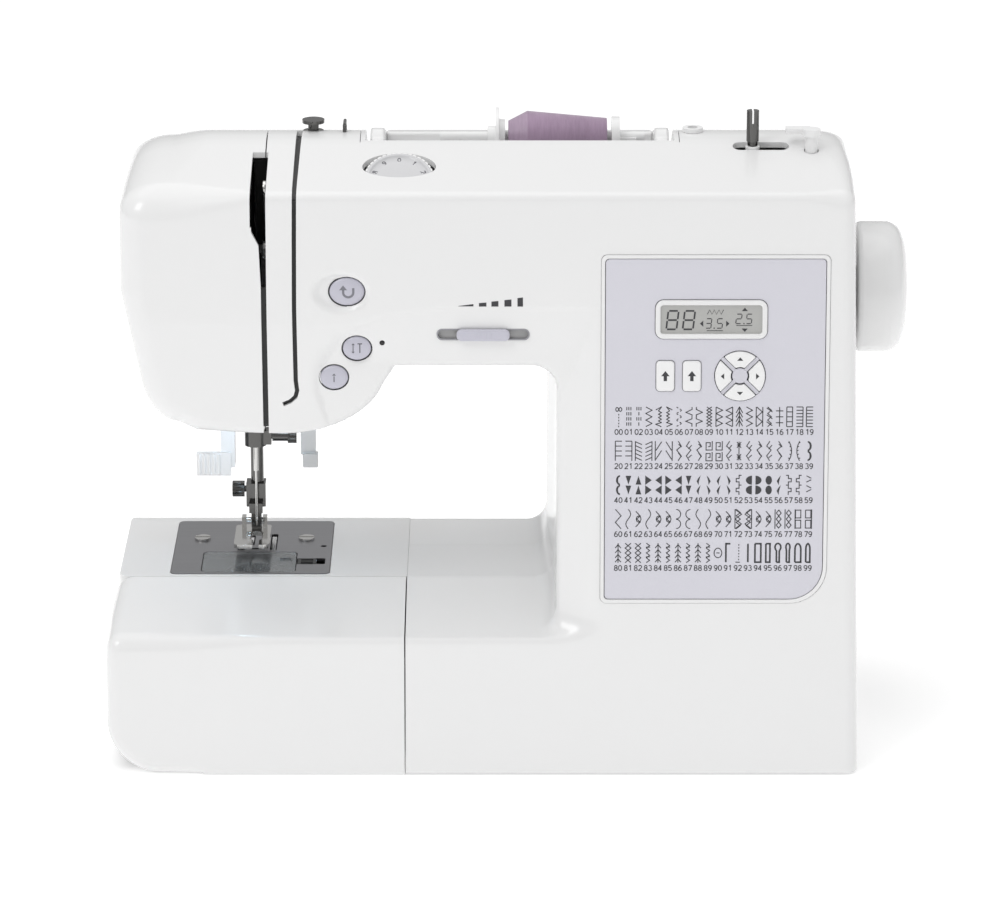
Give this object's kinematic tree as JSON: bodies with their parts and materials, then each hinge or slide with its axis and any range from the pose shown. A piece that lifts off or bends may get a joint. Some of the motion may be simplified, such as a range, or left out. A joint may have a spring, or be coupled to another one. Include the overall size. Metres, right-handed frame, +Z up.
{
  "type": "sewing machine",
  "caption": "Free-arm computerised sewing machine with a slanted control panel, handwheel, drop-in bobbin, thread spool on top and a removable accessory tray.",
  "frame": {"origin": "middle of the footprint's bounding box, on the table", "axes": "+X along the arm towards the handwheel, -Y out of the control panel towards the user, +Z up"},
  "size_m": [0.388, 0.1778, 0.3134],
  "materials": {
    "white_plastic": "gloss moulded ABS",
    "panel_lilac": "satin printed overlay",
    "button_lilac": "satin moulded",
    "clear_plastic": "clear moulded cover",
    "dark_plastic": "matt",
    "rubber": "matt",
    "cast_metal": "cast",
    "steel": "ground",
    "chrome": "polished",
    "bronze": "sintered",
    "plate_steel": "brushed",
    "belt_rubber": "matt",
    "board_green": "lacquered board",
    "thread": "wound thread",
    "motor_paint": "painted",
    "display_glass": "display window"
  },
  "bodies": {
    "machine": {"front_cover": "white_plastic", "rear_cover": "white_plastic", "face_cover": "white_plastic", "base_plate": "dark_plastic", "rubber_feet": "rubber", "cast_frame": "cast_metal", "bushes": "bronze", "free_arm_shell": "white_plastic", "needle_plate": "plate_steel", "plate_screws": "chrome", "bobbin_case": "dark_plastic", "drive_belts": "belt_rubber", "motor": "motor_paint", "circuit_boards": "board_green", "socket_panel": "dark_plastic", "control_panel": "panel_lilac", "display": "display_glass", "spool_tub": "white_plastic", "second_pin_socket": "white_plastic", "thread_guides": "chrome"},
    "upper_shaft": {"handwheel": "white_plastic", "upper_shaft": "steel"},
    "lower_shaft": {"lower_shaft": "steel"},
    "hook": {"rotary_hook": "steel"},
    "motor_shaft": {"motor_shaft": "steel"},
    "bobbin": {"bobbin": "clear_plastic"},
    "needle_bar": {"needle_bar": "chrome", "needle": "chrome"},
    "connecting_rod": {"connecting_rod": "steel"},
    "clamp_screw": {"clamp_screw": "chrome"},
    "threader": {"needle_threader": "white_plastic"},
    "buttonhole_lever": {"buttonhole_lever": "dark_plastic"},
    "take_up_lever": {"take_up_lever": "chrome"},
    "presser_bar": {"presser_bar": "chrome", "foot_holder": "chrome"},
    "thumb_screw": {"thumb_screw": "chrome"},
    "presser_foot": {"presser_foot": "chrome"},
    "lifter": {"lifter_lever": "dark_plastic"},
    "feed_dog": {"feed_dog": "steel"},
    "bobbin_cover": {"bobbin_cover": "clear_plastic"},
    "cover_latch": {"cover_latch": "dark_plastic"},
    "accessory_tray": {"accessory_tray": "white_plastic"},
    "handle": {"handle": "white_plastic"},
    "thread_spool": {"thread_spool": "thread"},
    "spool_cap": {"spool_cap": "white_plastic"},
    "winder_slide": {"winder_slide": "white_plastic"},
    "winder_spindle": {"winder_spindle": "white_plastic"},
    "winder_stop": {"winder_stop": "white_plastic"},
    "tension_dial": {"tension_dial": "white_plastic"},
    "reverse_button": {"reverse_button": "button_lilac"},
    "needle_button": {"needle_button": "button_lilac"},
    "start_button": {"start_button": "button_lilac"},
    "key_left": {"key_left": "button_lilac"},
    "key_right": {"key_right": "button_lilac"},
    "key_next": {"key_next": "button_lilac"},
    "key_up": {"key_up": "button_lilac"},
    "key_back": {"key_back": "button_lilac"},
    "key_down": {"key_down": "button_lilac"},
    "speed_knob": {"speed_knob": "button_lilac"},
    "power_rocker": {"power_rocker": "dark_plastic"}
  },
  "joints": [
    {"name": "handwheel_turn", "type": "hinge", "parent": "machine", "child": "upper_shaft", "pos_m": [0, 0.015, 0.2165], "axis": [1, 0, 0], "continuous": true},
    {"name": "lower_shaft_turn", "type": "hinge", "parent": "machine", "child": "lower_shaft", "pos_m": [0, 0.015, 0.038], "axis": [1, 0, 0], "continuous": true},
    {"name": "hook_turn", "type": "hinge", "parent": "machine", "child": "hook", "pos_m": [-0.126, -0.0035, 0], "axis": [0, 0, 1], "continuous": true},
    {"name": "motor_turn", "type": "hinge", "parent": "machine", "child": "motor_shaft", "pos_m": [0, -0.04, 0.05], "axis": [1, 0, 0], "continuous": true},
    {"name": "bobbin_spin", "type": "hinge", "parent": "machine", "child": "bobbin", "pos_m": [-0.126, -0.0035, 0], "axis": [0, 0, 1], "continuous": true},
    {"name": "needle_bar_slide", "type": "slide", "parent": "machine", "child": "needle_bar", "axis": [0, 0, 1], "range_m": [-0.03, 0]},
    {"name": "rod_swing", "type": "hinge", "parent": "needle_bar", "child": "connecting_rod", "pos_m": [0, 0.015, 0.2015], "axis": [1, 0, 0], "range_deg": [-29, 29]},
    {"name": "clamp_screw_turn", "type": "hinge", "parent": "needle_bar", "child": "clamp_screw", "pos_m": [0, 0.015, 0.1395], "axis": [1, 0, 0], "range_deg": [-180, 0]},
    {"name": "threader_slide", "type": "slide", "parent": "machine", "child": "threader", "axis": [0, 0, 1], "range_m": [-0.02, 0], "stiffness_N_per_m": 20, "springref_m": 0.01},
    {"name": "buttonhole_slide", "type": "slide", "parent": "machine", "child": "buttonhole_lever", "axis": [0, 0, 1], "range_m": [-0.018, 0]},
    {"name": "take_up_swing", "type": "hinge", "parent": "machine", "child": "take_up_lever", "pos_m": [0, -0.008, 0.242], "axis": [1, 0, 0], "range_deg": [0, 70]},
    {"name": "presser_bar_slide", "type": "slide", "parent": "machine", "child": "presser_bar", "axis": [0, 0, 1], "range_m": [-0.005, 0.002]},
    {"name": "thumb_screw_turn", "type": "hinge", "parent": "presser_bar", "child": "thumb_screw", "pos_m": [0, 0.027, 0.108], "axis": [1, 0, 0], "range_deg": [-180, 0]},
    {"name": "foot_tilt", "type": "hinge", "parent": "presser_bar", "child": "presser_foot", "pos_m": [0, 0.025, 0.0924], "axis": [1, 0, 0], "range_deg": [-3, 3]},
    {"name": "lifter_swing", "type": "hinge", "parent": "machine", "child": "lifter", "pos_m": [0, 0.037, 0.1815], "axis": [1, 0, 0], "range_deg": [-28.7, 11.5]},
    {"name": "feed_slide", "type": "slide", "parent": "machine", "child": "feed_dog", "axis": [0, 1, 0], "range_m": [-0.002, 0.002]},
    {"name": "bobbin_cover_lift", "type": "slide", "parent": "machine", "child": "bobbin_cover", "axis": [0, 0, 1], "range_m": [0, 0.004]},
    {"name": "cover_latch_slide", "type": "slide", "parent": "machine", "child": "cover_latch", "axis": [1, 0, 0], "range_m": [0, 0.003], "stiffness_N_per_m": 60, "springref_m": -0.002},
    {"name": "tray_slide", "type": "slide", "parent": "machine", "child": "accessory_tray", "axis": [-1, 0, 0], "range_m": [0, 0.15]},
    {"name": "handle_lift", "type": "hinge", "parent": "machine", "child": "handle", "pos_m": [0, -0.007, 0.288], "axis": [1, 0, 0], "range_deg": [0, 90]},
    {"name": "spool_spin", "type": "hinge", "parent": "machine", "child": "thread_spool", "pos_m": [0, 0.012, 0.293], "axis": [1, 0, 0], "continuous": true},
    {"name": "spool_cap_slide", "type": "slide", "parent": "machine", "child": "spool_cap", "axis": [-1, 0, 0], "range_m": [0, 0.022]},
    {"name": "winder_shift", "type": "slide", "parent": "machine", "child": "winder_slide", "axis": [1, 0, 0], "range_m": [0, 0.011]},
    {"name": "winder_spin", "type": "hinge", "parent": "winder_slide", "child": "winder_spindle", "pos_m": [0.117, -0.018, 0], "axis": [0, 0, 1], "continuous": true},
    {"name": "winder_stop_swing", "type": "hinge", "parent": "machine", "child": "winder_stop", "pos_m": [0.145, -0.022, 0], "axis": [0, 0, 1], "range_deg": [-25, 0]},
    {"name": "tension_turn", "type": "hinge", "parent": "machine", "child": "tension_dial", "pos_m": [-0.052, -0.0433, 0.28742], "axis": [0, -0.5, 0.866], "range_deg": [-140, 140]},
    {"name": "reverse_button_press", "type": "slide", "parent": "machine", "child": "reverse_button", "axis": [0, 0.9962, -0.0872], "range_m": [0, 0.0015], "stiffness_N_per_m": 200, "springref_m": -0.002},
    {"name": "needle_button_press", "type": "slide", "parent": "machine", "child": "needle_button", "axis": [0, 0.9962, -0.0872], "range_m": [0, 0.0015], "stiffness_N_per_m": 200, "springref_m": -0.002},
    {"name": "start_button_press", "type": "slide", "parent": "machine", "child": "start_button", "axis": [0, 0.9962, -0.0872], "range_m": [0, 0.0015], "stiffness_N_per_m": 200, "springref_m": -0.002},
    {"name": "key_left_press", "type": "slide", "parent": "machine", "child": "key_left", "axis": [0, 0.9962, -0.0872], "range_m": [0, 0.0008], "stiffness_N_per_m": 200, "springref_m": -0.002},
    {"name": "key_right_press", "type": "slide", "parent": "machine", "child": "key_right", "axis": [0, 0.9962, -0.0872], "range_m": [0, 0.0008], "stiffness_N_per_m": 200, "springref_m": -0.002},
    {"name": "key_next_press", "type": "slide", "parent": "machine", "child": "key_next", "axis": [0, 0.9962, -0.0872], "range_m": [0, 0.0008], "stiffness_N_per_m": 200, "springref_m": -0.002},
    {"name": "key_up_press", "type": "slide", "parent": "machine", "child": "key_up", "axis": [0, 0.9962, -0.0872], "range_m": [0, 0.0008], "stiffness_N_per_m": 200, "springref_m": -0.002},
    {"name": "key_back_press", "type": "slide", "parent": "machine", "child": "key_back", "axis": [0, 0.9962, -0.0872], "range_m": [0, 0.0008], "stiffness_N_per_m": 200, "springref_m": -0.002},
    {"name": "key_down_press", "type": "slide", "parent": "machine", "child": "key_down", "axis": [0, 0.9962, -0.0872], "range_m": [0, 0.0008], "stiffness_N_per_m": 200, "springref_m": -0.002},
    {"name": "speed_slide", "type": "slide", "parent": "machine", "child": "speed_knob", "axis": [1, 0, 0], "range_m": [-0.009, 0.009]},
    {"name": "power_rock", "type": "hinge", "parent": "machine", "child": "power_rocker", "pos_m": [0.165, 0, 0.038], "axis": [0, 1, 0], "range_deg": [-5, 5]}
  ],
  "couplings": [
    {"joint": "lower_shaft_turn", "follows": "handwheel_turn", "ratio": 1},
    {"joint": "hook_turn", "follows": "handwheel_turn", "ratio": 2},
    {"joint": "motor_turn", "follows": "handwheel_turn", "ratio": 2.8571},
    {"joint": "lifter_swing", "follows": "presser_bar_slide", "rad_per_m": 100}
  ]
}
